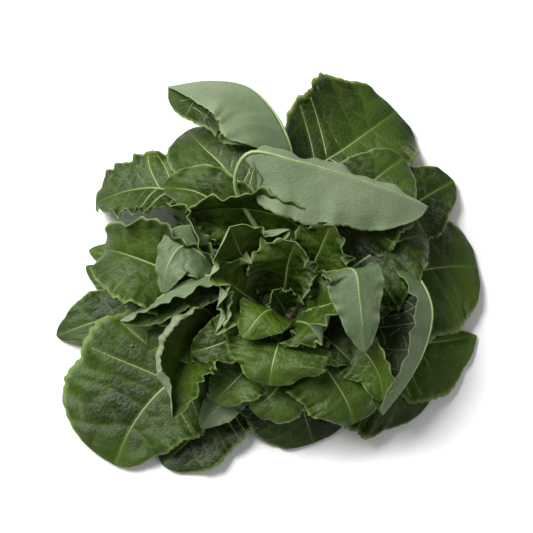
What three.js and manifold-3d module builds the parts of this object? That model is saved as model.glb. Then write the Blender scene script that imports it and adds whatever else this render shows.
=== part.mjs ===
// A bunch of spinach standing on its cut crown: long-stalked leaves splay from it in three layers.
// Millimetres and degrees. The crown's flat cut is on the ground at the origin, and +Z is up.
import * as THREE from "three";
import { mergeVertices } from "three/addons/utils/BufferGeometryUtils.js";
import Module from "manifold-3d";

const wasm = await Module();
wasm.setup();

// The crown is a short stub of root with a shallow dome, out of which every stalk grows.
const crownRadius = 13;
const crownHeight = 11;
const crownSides = 20;
// Radius and height up the crown's side, as shares of its full ones: the flat cut, the waist above
// it, the widest place, the shoulder and the dome.
const crownProfile = [[0, 0], [0.82, 0], [1, 0.45], [0.9, 0.75], [0.5, 0.95], [0, 1]];

// What all leaves share.
const bladeThickness = 0.8;
const narrowestHalfWidth = 1.2;
const rowsPerBlade = 7;
const columnsPerSide = 2;
const columnsPerCurledSide = 5;
const tightCurl = 90;
const stalkRadius = 2.4;
const stalkTipRadius = 0.8;
const stalkSides = 4;
const stalkRings = 4;
const stalkFlattening = 0.8;
const stalkDepth = 0.7;
const midribReach = 0.3;
const gap = 0.5;
const crossSectionSteps = 40;
// The ruffle of a margin: how much it gathers towards the margin, how far the right side lags the
// left, and the height and pace of its second wave beside the first.
const ruffleGathering = 1.8;
const ruffleLag = 1.9;
const secondRuffleHeight = 0.45;
const secondRufflePace = 2.3;

const layers = {
  outer: new THREE.Color(0x3f6b22),
  middle: new THREE.Color(0x4d7a2a),
  heart: new THREE.Color(0x6a9440),
};
const crownColor = new THREE.Color(0xd9b9a0);
const leafRoughness = 0.55;
const crownRoughness = 0.8;

// Leaf values, with pairs given left side first, looking from the crown to the tip:
//   spine    points that the stalk and then the midrib run through
//   stalk    share of the spine that is bare stalk
//   width    widest half-width of each side
//   fold     how far each side turns up from the midrib, and curl, how far it turns on from start
//   roll     turn of the blade about its spine, at equal steps along it
//   wave     ruffle of the margin: height, waves along the blade, phase
//   skew     under 1 puts the widest place nearer the stalk; blunt, under 1, rounds both ends
//   sweep    how far the margin is drawn back towards the stalk, as a share of the half-width
const usual = {
  stalk: 0.35, fold: [6, 6], curl: [0, 0], start: 0.35, roll: [0, 0], wave: [1.5, 2.5, 0],
  skew: [0.78, 0.78], blunt: [0.62, 0.62], sweep: 0,
};

const leaves = [
  {
    name: "outer_leaf_01",
    spine: [[-9, -6, 8], [-34, -18, 15], [-60, -32, 17], [-82, -50, 14], [-97, -70, 9], [-106, -90, 3]],
    stalk: 0.36, width: [36, 60], fold: [2, 4], curl: [-6, -8], wave: [2, 2, 0.5], blunt: [0.5, 0.5],
  },
  {
    name: "outer_leaf_02",
    spine: [[-6, -9, 6], [-22, -30, 9], [-42, -54, 8], [-58, -73, 6], [-76, -90, 2]],
    stalk: 0.35, width: [27, 26], fold: [3, 3], wave: [1.5, 3, 1], blunt: [0.5, 0.5],
  },
  {
    name: "outer_leaf_03",
    spine: [[1, -11, 6], [5, -28, 15], [9, -46, 15], [13, -62, 9], [18, -76, 2]],
    stalk: 0.3, width: [45, 40], fold: [0, 0], curl: [-8, -8], wave: [1.5, 2.5, 2],
    blunt: [0.42, 0.42],
  },
  {
    name: "outer_leaf_04",
    spine: [[9, -7, 6], [32, -18, 15], [54, -29, 17], [73, -39, 12], [90, -51, 3]],
    stalk: 0.33, width: [26, 46], fold: [3, 2], curl: [0, -6], wave: [1.5, 3, 0], blunt: [0.5, 0.5],
  },
  {
    name: "outer_leaf_05",
    spine: [[11, -3, 7], [38, -8, 12], [66, -13, 12], [92, -13, 9], [121, -7, 2]],
    stalk: 0.42, width: [12, 38], fold: [2, 2], wave: [1, 2, 0], blunt: [0.8, 0.8],
  },
  {
    name: "outer_leaf_06",
    spine: [[11, 4, 7], [38, 14, 16], [66, 26, 20], [88, 32, 17], [106, 36, 10], [122, 38, 3]],
    stalk: 0.4, width: [46, 48], fold: [2, 4], curl: [-8, -8], wave: [1.6, 3, 0.4],
    blunt: [0.42, 0.42],
  },
  {
    name: "outer_leaf_07",
    spine: [[8, 8, 8], [34, 32, 14], [58, 54, 16], [82, 76, 12], [108, 94, 5]],
    stalk: 0.45, width: [28, 26], fold: [6, 6], wave: [2, 2.5, 0], blunt: [0.5, 0.5],
  },
  {
    name: "outer_leaf_08",
    spine: [
      [3, 11, 9], [6, 42, 18], [10, 78, 20], [20, 98, 18],
      [38, 112, 15], [56, 127, 10], [72, 141, 3],
    ],
    stalk: 0.5, width: [48, 44], fold: [16, 4], curl: [30, -4], wave: [3, 2.5, 0.6],
    blunt: [0.5, 0.34], skew: [0.9, 0.8], heading: 48,
  },
  {
    name: "outer_leaf_09",
    spine: [
      [0, 11, 11], [-2, 44, 28], [4, 84, 42], [3, 104, 48],
      [-8, 128, 48], [-24, 144, 45], [-48, 150, 38], [-74, 150, 27],
    ],
    stalk: 0.48, width: [40, 42], fold: [-2, 150], curl: [0, 20], wave: [1.2, 2.5, 0.6],
    skew: [1, 0.6], blunt: [0.45, 0.75], heading: 135,
  },
  {
    name: "outer_leaf_10",
    spine: [[-6, 9, 8], [-28, 36, 22], [-54, 66, 30], [-76, 82, 26], [-98, 83, 20], [-120, 78, 8]],
    stalk: 0.6, width: [28, 24], fold: [24, 4], curl: [40, -6], wave: [2, 2.5, 0.6],
    blunt: [0.45, 0.45], heading: 165,
  },
  {
    name: "outer_leaf_11",
    spine: [[-4, 11, 10], [-14, 42, 26], [-24, 73, 34], [-38, 94, 33], [-52, 110, 27], [-62, 124, 16]],
    stalk: 0.42, width: [32, 26], fold: [6, 10], wave: [1.5, 2.5, 0.6], blunt: [0.5, 0.5],
  },
  {
    name: "outer_leaf_12",
    spine: [[-9, 8, 6], [-32, 40, 12], [-56, 78, 12], [-72, 98, 10], [-86, 110, 4]],
    stalk: 0.4, width: [18, 20], fold: [6, 6], wave: [1, 2.5, 0.6],
  },
  {
    name: "outer_leaf_13",
    spine: [[-11, 5, 6], [-45, 18, 14], [-85, 34, 14], [-124, 48, 5]],
    stalk: 0.4, width: [14, 16], fold: [6, 6], wave: [1, 2.5, 0.6],
  },
  {
    name: "outer_leaf_14",
    spine: [[-11, 2, 6], [-45, 8, 10], [-90, 24, 12], [-126, 38, 3]],
    stalk: 0.4, width: [20, 10], fold: [6, 6], wave: [1, 2.5, 0.6],
  },
  {
    name: "outer_leaf_15",
    spine: [[-12, -1, 8], [-42, 0, 17], [-80, 3, 18], [-114, 1, 11], [-144, -7, 2]],
    stalk: 0.38, width: [20, 24], fold: [4, 4], wave: [1.5, 2.5, 0.6],
  },
  {
    name: "outer_leaf_16",
    spine: [[-5, -11, 8], [-20, -34, 22], [-36, -52, 26], [-52, -70, 20]],
    stalk: 0.4, width: [13, 13], fold: [10, 10], roll: [180, 180], wave: [1, 2, 0],
  },
  {
    name: "outer_leaf_17",
    spine: [[1, 10, 6], [2, 32, 9], [4, 58, 9], [6, 88, 4]],
    stalk: 0.28, width: [34, 32], fold: [4, 4], wave: [2, 2.5, 0], blunt: [0.5, 0.5],
  },
  {
    name: "outer_leaf_18",
    spine: [[8, 7, 5], [26, 26, 8], [46, 44, 8], [68, 60, 4]],
    stalk: 0.28, width: [28, 28], fold: [4, 4], wave: [2, 2.5, 0], blunt: [0.5, 0.5],
  },
  {
    name: "outer_leaf_19",
    spine: [[-9, 6, 5], [-32, 20, 8], [-56, 40, 8], [-78, 60, 4]],
    stalk: 0.28, width: [28, 28], fold: [4, 4], wave: [2, 2.5, 0], blunt: [0.5, 0.5],
  },
  {
    name: "middle_leaf_01",
    spine: [[-9, 3, 12], [-34, 10, 30], [-62, 20, 42], [-86, 30, 44], [-104, 38, 38], [-113, 42, 28]],
    stalk: 0.34, width: [34, 30], fold: [12, 34], curl: [10, 40], wave: [3, 2.5, 0],
    blunt: [0.42, 0.42],
  },
  {
    name: "middle_leaf_02",
    spine: [
      [-8, -4, 12], [-30, -9, 26], [-52, -20, 32],
      [-66, -38, 34], [-70, -56, 38], [-69, -70, 46],
    ],
    stalk: 0.34, width: [30, 42], fold: [48, 56], curl: [10, 130], start: 0.72, wave: [1, 2, 0],
    heading: -132,
  },
  {
    name: "middle_leaf_03",
    spine: [[0, -8, 13], [-2, -16, 42], [-5, -28, 56], [-8, -40, 59], [-10, -51, 54]],
    stalk: 0.36, width: [34, 32], fold: [0, 0], curl: [-20, -20], wave: [4, 2, 0], blunt: [0.5, 0.5],
    heading: -95,
  },
  {
    name: "middle_leaf_04",
    spine: [[-4, -8, 12], [-16, -26, 30], [-30, -43, 36], [-44, -56, 32]],
    stalk: 0.36, width: [20, 20], fold: [10, 10], wave: [3, 2, 0],
  },
  {
    name: "middle_leaf_05",
    spine: [[2, -9, 12], [2, -28, 30], [-2, -44, 36], [-12, -56, 36], [-22, -60, 33]],
    stalk: 0.36, width: [24, 16], fold: [6, 6], curl: [-60, 0], wave: [3, 2, 0],
  },
  {
    name: "middle_leaf_06",
    spine: [[5, -8, 12], [16, -24, 34], [28, -42, 42], [38, -58, 38], [42, -70, 31]],
    stalk: 0.3, width: [34, 28], fold: [4, 4], curl: [-10, -20], wave: [3, 2.5, 0],
    blunt: [0.5, 0.5],
  },
  {
    name: "middle_leaf_07",
    spine: [[9, -5, 13], [28, -14, 36], [46, -26, 50], [57, -42, 50], [60, -58, 42]],
    stalk: 0.35, width: [16, 20], fold: [20, 20], roll: [0, 40, 40], wave: [2, 2, 0],
  },
  {
    name: "middle_leaf_08",
    spine: [
      [10, -1, 13], [34, 14, 30], [60, 26, 44], [80, 20, 50],
      [90, 0, 52], [88, -20, 50], [77, -44, 46], [60, -66, 38],
    ],
    stalk: 0.4, width: [15, 44], fold: [140, -18], wave: [1.2, 2.5, 0], blunt: [0.4, 0.5],
    heading: -80,
  },
  {
    name: "middle_leaf_09",
    spine: [[9, 5, 13], [30, 18, 38], [52, 32, 50], [72, 42, 50], [88, 48, 42]],
    stalk: 0.35, width: [30, 36], fold: [4, 4], curl: [0, -20], wave: [2.5, 2.5, 0],
    blunt: [0.5, 0.5],
  },
  {
    name: "middle_leaf_10",
    spine: [[6, 9, 13], [22, 34, 38], [38, 60, 52], [56, 80, 54], [74, 96, 48]],
    stalk: 0.36, width: [26, 40], fold: [6, 6], wave: [2.5, 2.5, 0], blunt: [0.5, 0.5],
  },
  {
    name: "middle_leaf_11",
    spine: [[3, 9, 14], [16, 32, 42], [8, 50, 56], [-14, 58, 60], [-38, 60, 60], [-62, 58, 56]],
    stalk: 0.34, width: [30, 24], fold: [10, 10], roll: [0, -70, -70, -70], heading: 180,
    wave: [2.5, 3, 0],
  },
  {
    name: "middle_leaf_12",
    spine: [
      [0, 9, 14], [-12, 42, 46], [-30, 72, 72], [-22, 88, 84],
      [6, 82, 88], [32, 75, 86], [60, 67, 80], [88, 58, 70],
    ],
    stalk: 0.47, width: [36, 18], fold: [20, 60], roll: [180, 180], heading: -15, wave: [1.5, 3, 0],
    blunt: [0.5, 0.5],
  },
  {
    name: "middle_leaf_13",
    spine: [[-5, 8, 12], [-20, 36, 36], [-36, 60, 46], [-54, 74, 46], [-76, 80, 38]],
    stalk: 0.34, width: [20, 24], fold: [10, 30], wave: [2.5, 2, 0],
  },
  {
    name: "middle_leaf_14",
    spine: [[-7, 6, 14], [-28, 18, 36], [-48, 28, 44], [-55, 42, 48], [-58, 56, 46], [-74, 68, 42]],
    stalk: 0.32, width: [22, 22], fold: [10, 10], roll: [0, -80, -80, -80], heading: 138,
    wave: [2, 2, 0],
  },
  {
    name: "middle_leaf_15",
    spine: [[-6, 4, 14], [-26, 16, 38], [-46, 28, 54], [-62, 36, 60], [-71, 26, 60], [-76, 8, 52]],
    stalk: 0.4, width: [14, 18], fold: [10, 10], roll: [180, 180], wave: [1, 2, 0], heading: 200,
  },
  {
    name: "middle_leaf_16",
    spine: [[-8, 1, 14], [-24, 12, 40], [-44, 18, 55], [-62, 14, 55], [-82, 3, 48], [-102, -6, 38]],
    stalk: 0.32, width: [20, 20], fold: [10, 125], wave: [1.5, 2, 0], heading: 190,
  },
  {
    name: "middle_leaf_17",
    spine: [[-9, -1, 13], [-30, -6, 30], [-50, -12, 36], [-70, -18, 34], [-85, -24, 28]],
    stalk: 0.34, width: [20, 26], fold: [10, 10], wave: [2, 2, 0],
  },
  {
    name: "heart_leaf_01",
    spine: [[-5, 6, 15], [-17, 16, 40], [-27, 29, 64], [-34, 40, 88]],
    stalk: 0.28, width: [40, 34], fold: [15, 15], curl: [80, 80], wave: [5, 2.2, 0],
    blunt: [0.42, 0.42],
  },
  {
    name: "heart_leaf_02",
    spine: [[-6, 2, 15], [-20, 6, 40], [-32, 10, 60], [-43, 13, 76]],
    stalk: 0.28, width: [30, 26], fold: [10, 10], curl: [40, 30], wave: [7, 2.2, 1],
    blunt: [0.42, 0.42],
  },
  {
    name: "heart_leaf_03",
    spine: [[-2, 6, 15], [0, 14, 42], [2, 24, 66], [6, 32, 84]],
    stalk: 0.28, width: [26, 20], fold: [8, 8], curl: [20, 20], wave: [5, 2, 0.8],
    blunt: [0.42, 0.42],
  },
  {
    name: "heart_leaf_04",
    spine: [[5, 2, 15], [15, 0, 40], [25, -2, 60], [34, -3, 78]],
    stalk: 0.28, width: [24, 26], fold: [10, 10], curl: [20, 20], wave: [6, 2.2, 1],
    blunt: [0.42, 0.42],
  },
  {
    name: "heart_leaf_05",
    spine: [[-2, -3, 15], [-6, -2, 38], [-9, -4, 56], [-15, -10, 66], [-26, -24, 66]],
    stalk: 0.4, width: [17, 17], fold: [-10, -10], wave: [2, 2, 0], heading: -120,
  },
  {
    name: "heart_leaf_06",
    spine: [[-5, -4, 14], [-18, -10, 36], [-32, -20, 48], [-46, -26, 50], [-58, -28, 46]],
    stalk: 0.34, width: [16, 18], fold: [10, 10], wave: [2, 2, 0],
  },
  {
    name: "heart_leaf_07",
    spine: [[3, -3, 15], [8, -7, 38], [14, -13, 56], [21, -21, 66]],
    stalk: 0.3, width: [24, 24], fold: [0, 0], curl: [-15, -20], wave: [5, 2.4, 1],
    blunt: [0.45, 0.45],
  },
  {
    name: "heart_leaf_08",
    spine: [[6, 1, 15], [20, 8, 46], [34, 16, 76], [42, 12, 88], [45, -6, 85], [48, -34, 70]],
    stalk: 0.4, width: [18, 16], fold: [10, 10], roll: [180, 180], wave: [1, 2, 0], heading: -80,
  },
  {
    name: "heart_leaf_09",
    spine: [[5, -5, 14], [18, -12, 36], [30, -24, 48], [42, -36, 48]],
    stalk: 0.34, width: [18, 16], fold: [10, 10], wave: [2, 2, 0],
  },
  {
    name: "heart_leaf_10",
    spine: [[5, 5, 15], [14, 20, 42], [22, 34, 62], [28, 46, 76]],
    stalk: 0.28, width: [22, 24], fold: [10, 10], curl: [30, 20], wave: [4, 2, 1],
    blunt: [0.45, 0.45],
  },
  {
    name: "heart_leaf_11",
    spine: [[1, -4, 15], [1, -11, 34], [2, -21, 48], [3, -34, 56]],
    stalk: 0.28, width: [12, 12], fold: [20, 20], wave: [3, 2, 0], blunt: [0.45, 0.45],
  },
  {
    name: "heart_leaf_12",
    spine: [[0, 1, 15], [-1, 3, 32], [-4, 5, 44], [-8, 9, 54]],
    stalk: 0.28, width: [12, 12], fold: [20, 20], wave: [2.5, 2, 1.5], blunt: [0.45, 0.45],
  },
];

const radians = THREE.MathUtils.degToRad;

// A list of values at equal steps, read at a share from 0 to 1.
function readAlong(values, share) {
  const place = THREE.MathUtils.clamp(share, 0, 1) * (values.length - 1);
  const step = Math.min(Math.floor(place), values.length - 2);
  return THREE.MathUtils.lerp(values[step], values[step + 1], place - step);
}

// The leaf's own directions at a share of its length: along the spine, to its left, and up.
function frameAt(leaf, share) {
  const heading = radians(leaf.heading);
  const level = new THREE.Vector3(-Math.sin(heading), Math.cos(heading), 0);
  const along = leaf.curve.getTangentAt(share);
  const left = level.addScaledVector(along, -level.dot(along)).normalize();
  left.applyAxisAngle(along, radians(readAlong(leaf.roll, share)));
  const up = new THREE.Vector3().crossVectors(along, left);
  return { point: leaf.curve.getPointAt(share), along, left, up };
}

// Half-width of one side at a share of the blade: a sine arch, skewed and blunted.
function halfWidth(leaf, side, share) {
  const arch = Math.sin(Math.PI * share ** leaf.skew[side]);
  return Math.max(leaf.width[side] * Math.max(arch, 0) ** leaf.blunt[side], narrowestHalfWidth);
}

// Where one side's cross-section is, and which way it faces, at a share from midrib to margin:
// its direction turns from fold to fold plus curl, so the place is the sum of short steps. The
// curl is less where the blade is narrow.
function crossSection(leaf, side, share, reach) {
  const curl = (leaf.curl[side] * halfWidth(leaf, side, share)) / leaf.width[side];
  let out = 0;
  let rise = 0;
  let angle = radians(leaf.fold[side]);
  for (let step = 0; step < crossSectionSteps; step++) {
    const place = (reach * (step + 0.5)) / crossSectionSteps;
    const curled = Math.max((place - leaf.start) / (1 - leaf.start), 0);
    angle = radians(leaf.fold[side] + curl * curled);
    out += (Math.cos(angle) * reach) / crossSectionSteps;
    rise += (Math.sin(angle) * reach) / crossSectionSteps;
  }
  return { out, rise, angle };
}

// Height of the margin's ruffle: two sine waves along the blade, growing from midrib to margin.
function ruffle(leaf, side, share, reach) {
  const [height, count, phase] = leaf.wave;
  const turn = 2 * Math.PI * count * share;
  const firstWave = Math.sin(turn + phase + ruffleLag * side);
  const secondWave = Math.sin(secondRufflePace * turn + 2.1 * phase + side);
  const waves = firstWave + secondRuffleHeight * secondWave;
  const narrowing = Math.sqrt(halfWidth(leaf, side, share) / leaf.width[side]);
  return height * reach ** ruffleGathering * waves * narrowing;
}

// A point of one side's middle surface and its facing, at a share of the blade and of its width.
function bladePoint(leaf, side, share, reach) {
  const sign = side === 0 ? 1 : -1;
  const { point, along, left, up } = frameAt(leaf, leaf.stalk + (1 - leaf.stalk) * share);
  const section = crossSection(leaf, side, share, reach);
  const width = halfWidth(leaf, side, share);
  const facing = up.clone().multiplyScalar(Math.cos(section.angle));
  facing.addScaledVector(left, -sign * Math.sin(section.angle));
  point.addScaledVector(left, sign * width * section.out);
  point.addScaledVector(up, width * section.rise);
  point.addScaledVector(along, -leaf.sweep * width * reach ** 2);
  point.addScaledVector(facing, ruffle(leaf, side, share, reach));
  return { point, facing, along };
}

// A solid from rings of equal length that are joined one to the next and closed at both ends.
function solidOfRings(rings) {
  const positions = rings.flat().flatMap((corner) => corner.toArray());
  const size = rings[0].length;
  const triangles = [];
  for (let ring = 0; ring < rings.length - 1; ring++) {
    for (let corner = 0; corner < size; corner++) {
      const a = ring * size + corner;
      const b = ring * size + ((corner + 1) % size);
      triangles.push(a, b, b + size, a, b + size, a + size);
    }
  }
  const last = (rings.length - 1) * size;
  for (let corner = 1; corner < size - 1; corner++) {
    triangles.push(0, corner + 1, corner);
    triangles.push(last, last + corner, last + corner + 1);
  }
  return solidOf(positions, triangles);
}

function solidOf(positions, triangles) {
  const mesh = new wasm.Mesh({
    numProp: 3,
    vertProperties: new Float32Array(positions),
    triVerts: new Uint32Array(triangles),
  });
  return new wasm.Manifold(mesh);
}

// How finely each side of a blade is cut up, with more columns for a tight curl.
function columnsOf(leaf) {
  return Math.max(...leaf.curl) > tightCurl ? columnsPerCurledSide : columnsPerSide;
}

// The blade: each ring goes over the upper face from left to right and back under it, and at the
// midrib, where the two sides meet at an angle, it is thickened halfway between their facings.
function bladeSolid(leaf, grown) {
  const half = bladeThickness / 2 + grown;
  const columns = columnsOf(leaf);
  const rings = [];
  for (let row = 0; row <= rowsPerBlade; row++) {
    const share = row / rowsPerBlade;
    const upper = [];
    const lower = [];
    for (let column = -columns; column <= columns; column++) {
      const side = column < 0 ? 0 : 1;
      const reach = (Math.abs(column) / columns) * (1 + grown / halfWidth(leaf, side, share));
      const { point, facing, along } = bladePoint(leaf, side, share, reach);
      if (column === 0) facing.add(bladePoint(leaf, 0, share, 0).facing).normalize();
      if (row === 0) point.addScaledVector(along, -grown);
      if (row === rowsPerBlade) point.addScaledVector(along, grown);
      upper.push(point.clone().addScaledVector(facing, half));
      lower.unshift(point.clone().addScaledVector(facing, -half));
    }
    rings.push([...upper, ...lower]);
  }
  return solidOfRings(rings);
}

// The stalk: a tapered tube on the back of the spine, which runs on under the blade as its midrib.
function stalkSolid(leaf, grown) {
  const end = leaf.stalk + (1 - leaf.stalk) * midribReach;
  const rings = [];
  for (let ring = 0; ring <= stalkRings; ring++) {
    const share = (ring / stalkRings) * end;
    const { point, left, up } = frameAt(leaf, share);
    const radius = THREE.MathUtils.lerp(stalkRadius, stalkTipRadius, ring / stalkRings);
    point.addScaledVector(up, -radius * stalkDepth);
    const corners = [];
    for (let corner = 0; corner < stalkSides; corner++) {
      const turn = ((corner + 0.5) / stalkSides) * 2 * Math.PI;
      const across = left.clone().multiplyScalar((radius + grown) * Math.cos(turn));
      across.addScaledVector(up, (radius * stalkFlattening + grown) * Math.sin(turn));
      corners.push(point.clone().add(across));
    }
    rings.push(corners);
  }
  return solidOfRings(rings);
}

function leafSolid(leaf, grown = 0) {
  return stalkSolid(leaf, grown).add(bladeSolid(leaf, grown));
}

// The crown: a lathed stub with a flat cut below, a slight waist and a domed top.
function crownSolid(grown = 0) {
  const radius = crownRadius + grown;
  const top = crownHeight + grown;
  const outline = crownProfile.map(([across, rise]) => new THREE.Vector2(across * radius, rise * top));
  const lathe = new THREE.LatheGeometry(outline, crownSides);
  lathe.deleteAttribute("normal");
  lathe.deleteAttribute("uv");
  lathe.rotateX(Math.PI / 2);
  const merged = mergeVertices(lathe);
  return solidOf(merged.attributes.position.array, merged.index.array);
}

// The largest shell of a solid alone: where neighbours cut a leaf's edge off, or its own folds
// close over a pocket, the loose bits and the pocket's wall are left out.
function largestBody(solid) {
  const { vertProperties, triVerts } = solid.getMesh();
  const parents = Array.from({ length: vertProperties.length / 3 }, (_, vertex) => vertex);
  const shellOf = (vertex) => {
    while (parents[vertex] !== vertex) vertex = parents[vertex] = parents[parents[vertex]];
    return vertex;
  };
  for (let i = 0; i < triVerts.length; i += 3) {
    parents[shellOf(triVerts[i + 1])] = shellOf(triVerts[i]);
    parents[shellOf(triVerts[i + 2])] = shellOf(triVerts[i]);
  }
  const shells = new Map();
  for (let i = 0; i < triVerts.length; i += 3) {
    const shell = shellOf(triVerts[i]);
    if (!shells.has(shell)) shells.set(shell, []);
    shells.get(shell).push(...triVerts.subarray(i, i + 3));
  }
  const largest = [...shells.values()].reduce((best, shell) => (shell.length > best.length ? shell : best));
  const positions = new THREE.BufferAttribute(vertProperties, 3);
  const geometry = new THREE.BufferGeometry().setAttribute("position", positions).setIndex(largest);
  const merged = mergeVertices(geometry.toNonIndexed());
  return solidOf(merged.attributes.position.array, merged.index.array);
}

function geometryOf(solid) {
  const mesh = solid.getMesh();
  const geometry = new THREE.BufferGeometry();
  geometry.setAttribute("position", new THREE.BufferAttribute(mesh.vertProperties, 3));
  geometry.setIndex(new THREE.BufferAttribute(mesh.triVerts, 1));
  geometry.computeVertexNormals();
  return geometry;
}

function namedMesh(name, solid, color, roughness) {
  const material = new THREE.MeshStandardMaterial({ color, roughness, metalness: 0 });
  const mesh = new THREE.Mesh(geometryOf(solid), material);
  mesh.name = name;
  return mesh;
}

// The leaf's values with the usual ones filled in, its curve, and its heading over the ground.
function prepared(leaf) {
  const points = leaf.spine.map((place) => new THREE.Vector3(...place));
  const curve = new THREE.CatmullRomCurve3(points, false, "centripetal");
  const [first, last] = [points[0], points[points.length - 1]];
  const heading = THREE.MathUtils.radToDeg(Math.atan2(last.y - first.y, last.x - first.x));
  return { heading, ...usual, ...leaf, curve };
}

const bunch = new THREE.Group();
bunch.add(namedMesh("crown", crownSolid(), crownColor, crownRoughness));

// How tightly a leaf is folded or curled up, in degrees.
function tightness(leaf) {
  return Math.max(...leaf.fold) + Math.max(...leaf.curl);
}

// Each leaf is cut back by the crown and by every leaf before it, each grown by the gap. The open
// leaves come first, so that a folded one fits around its neighbours.
const taken = [crownSolid(gap)];
const openFirst = leaves.map(prepared).sort((a, b) => tightness(a) - tightness(b));
for (const leaf of openFirst) {
  const layer = layers[leaf.name.split("_")[0]];
  const body = taken.reduce((rest, other) => rest.subtract(other), leafSolid(leaf));
  bunch.add(namedMesh(leaf.name, largestBody(body), layer, leafRoughness));
  taken.push(leafSolid(leaf, gap));
}

export default bunch;
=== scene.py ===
# A bunch of spinach standing on its cut crown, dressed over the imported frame.
import math
import bpy
import numpy as np
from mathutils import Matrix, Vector


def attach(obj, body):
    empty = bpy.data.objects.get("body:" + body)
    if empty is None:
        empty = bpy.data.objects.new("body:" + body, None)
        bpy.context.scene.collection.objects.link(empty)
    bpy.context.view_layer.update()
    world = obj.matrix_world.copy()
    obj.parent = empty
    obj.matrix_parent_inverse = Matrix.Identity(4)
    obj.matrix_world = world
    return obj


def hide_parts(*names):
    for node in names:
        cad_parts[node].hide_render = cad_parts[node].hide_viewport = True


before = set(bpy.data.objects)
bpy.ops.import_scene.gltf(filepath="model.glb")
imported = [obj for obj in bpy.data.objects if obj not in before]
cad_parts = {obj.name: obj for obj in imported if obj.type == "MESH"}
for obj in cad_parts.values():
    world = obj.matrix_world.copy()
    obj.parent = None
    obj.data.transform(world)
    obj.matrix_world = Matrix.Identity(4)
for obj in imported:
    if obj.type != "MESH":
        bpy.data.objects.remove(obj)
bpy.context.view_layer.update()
print("frame loaded with", len(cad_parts), "nodes")

mm = 0.001

# What every leaf shares, in millimetres unless the name says otherwise.
leafLook = {
    "rows": 84,
    "columnsPerSide": 20,
    "thickness": 0.5,
    "narrowestHalfWidth": 0.5,
    "stalkRadius": 2.5,
    "stalkTipRadius": 0.35,
    "stalkFlattening": 0.8,
    "stalkDepth": 0.7,
    "stalkSides": 12,
    "stalkRings": 60,
    "veinPairs": 6,
    "veinRadius": 0.62,
    "forkRadius": 0.34,
    # paintedBaseShade is painted shade: how far the colour is darkened towards each blade's base, standing in
    # for the shade deep inside the bunch.
    "paintedBaseShade": 0.9,
    "quilting": 1.5,
    "quiltingReach": 5,
    "toothDepth": 0.03,
    "frillHeight": 1.7,
    "veinLift": 0.38,
    "wideLobes": 0.05,
    "smallLobes": 0.035,
    "frillStart": 0.45,
    "frillGathering": 2.2,
    "swell": 0.9,
    "lowestPoint": 0.3,
}

# Each leaf, in millimetres and degrees, with pairs given left side first, looking to the tip:
# spine points, share of bare stalk, half-widths, fold and curl of each side, roll along the spine,
# ruffle (height, waves, phase), skew and bluntness of the outline, sweep of the margins, tone from
# -1 (dark) to 1 (light), and how strong the quilting, the fine frill and the veins are beside usual.
usualLeaf = {
    "stalk": 0.35, "fold": (6, 6), "curl": (0, 0), "start": 0.35, "roll": (0, 0),
    "wave": (1.5, 2.5, 0), "skew": (0.78, 0.78), "blunt": (0.62, 0.62), "sweep": 0, "tone": 0,
    "quilt": 1, "frill": 1, "veins": 1,
}

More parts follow.
